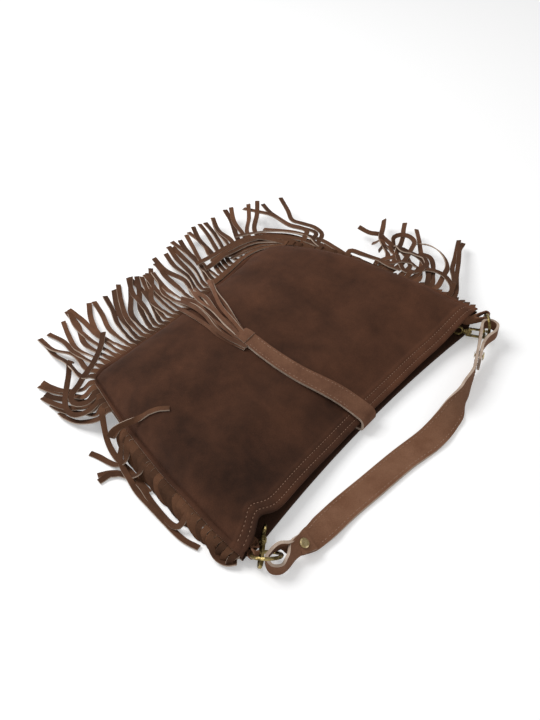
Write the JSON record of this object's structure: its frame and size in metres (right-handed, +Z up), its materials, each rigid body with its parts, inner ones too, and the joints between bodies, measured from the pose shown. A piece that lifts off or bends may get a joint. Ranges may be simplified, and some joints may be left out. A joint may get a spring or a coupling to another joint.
{
  "type": "fringed suede bag",
  "caption": "Slouchy suede shoulder bag lying on its back, with fringe sewn into three seams, a tasselled closure tab, a short riveted strap and snap hooks on rings.",
  "frame": {"origin": "centre of the back panel's flat underside, where the bag lies on its back", "axes": "+X along the mouth towards the far strap ring, +Y from the mouth to the bottom seam, +Z up, from the back panel to the front panel"},
  "size_m": [0.4882, 0.4204, 0.061],
  "materials": {
    "dark_suede": "napped suede, espresso brown, mottled",
    "inner_suede": "napped suede, dark",
    "strap_suede": "napped suede, lighter, stitched",
    "fringe_suede": "cut suede strands with pale edges",
    "old_brass": "antiqued, polished on the high spots",
    "pale_brass": "polished, champagne"
  },
  "bodies": {
    "bag": {"front_panel": "dark_suede", "back_panel": "inner_suede", "fringe_near_side": "fringe_suede", "fringe_bottom": "fringe_suede", "fringe_far_side": "fringe_suede", "closure_tab": "strap_suede", "tab_tassel": "strap_suede", "snap_socket": "old_brass", "snap_stud": "old_brass", "shoulder_strap": "strap_suede", "strap_rivet_near": "pale_brass", "strap_rivet_far": "pale_brass", "ring_near": "old_brass", "ring_far": "old_brass", "side_tab_near": "strap_suede", "side_tab_far": "strap_suede", "tab_rivet_near": "old_brass", "tab_rivet_far": "old_brass"},
    "near_hook": {"hook_claw_near": "old_brass"},
    "near_hook_gate": {"hook_gate_near": "old_brass"},
    "near_hook_eye": {"hook_eye_near": "old_brass"},
    "far_hook": {"hook_claw_far": "old_brass"},
    "far_hook_gate": {"hook_gate_far": "old_brass"},
    "far_hook_eye": {"hook_eye_far": "old_brass"}
  },
  "joints": [
    {"name": "near_hook_swing", "type": "hinge", "parent": "bag", "child": "near_hook", "pos_m": [-0.17321, -0.12413, 0.00639], "axis": [0.5582, -0.7787, -0.2865], "range_deg": [0, 75]},
    {"name": "near_hook_swivel", "type": "hinge", "parent": "near_hook", "child": "near_hook_eye", "pos_m": [-0.16361, -0.11832, 0.00932], "axis": [0.8279, 0.5452, 0.1313], "continuous": true},
    {"name": "near_hook_gate", "type": "hinge", "parent": "near_hook", "child": "near_hook_gate", "pos_m": [-0.1671, -0.12211, 0.01281], "axis": [0.5582, -0.7787, -0.2865], "range_deg": [0, 12], "stiffness_Nm_per_rad": 0.02, "springref_deg": -17.19},
    {"name": "far_hook_swing", "type": "hinge", "parent": "bag", "child": "far_hook", "pos_m": [0.1802, -0.1351, 0.0046], "axis": [0.8122, 0.5833, -0.009], "range_deg": [0, 12]},
    {"name": "far_hook_swivel", "type": "hinge", "parent": "far_hook", "child": "far_hook_eye", "pos_m": [0.16799, -0.11803, 0.00949], "axis": [-0.5748, 0.8028, 0.1586], "continuous": true},
    {"name": "far_hook_gate", "type": "hinge", "parent": "far_hook", "child": "far_hook_gate", "pos_m": [0.17101, -0.12217, 0.01302], "axis": [0.8122, 0.5833, -0.009], "range_deg": [0, 12], "stiffness_Nm_per_rad": 0.02, "springref_deg": -17.19}
  ]
}
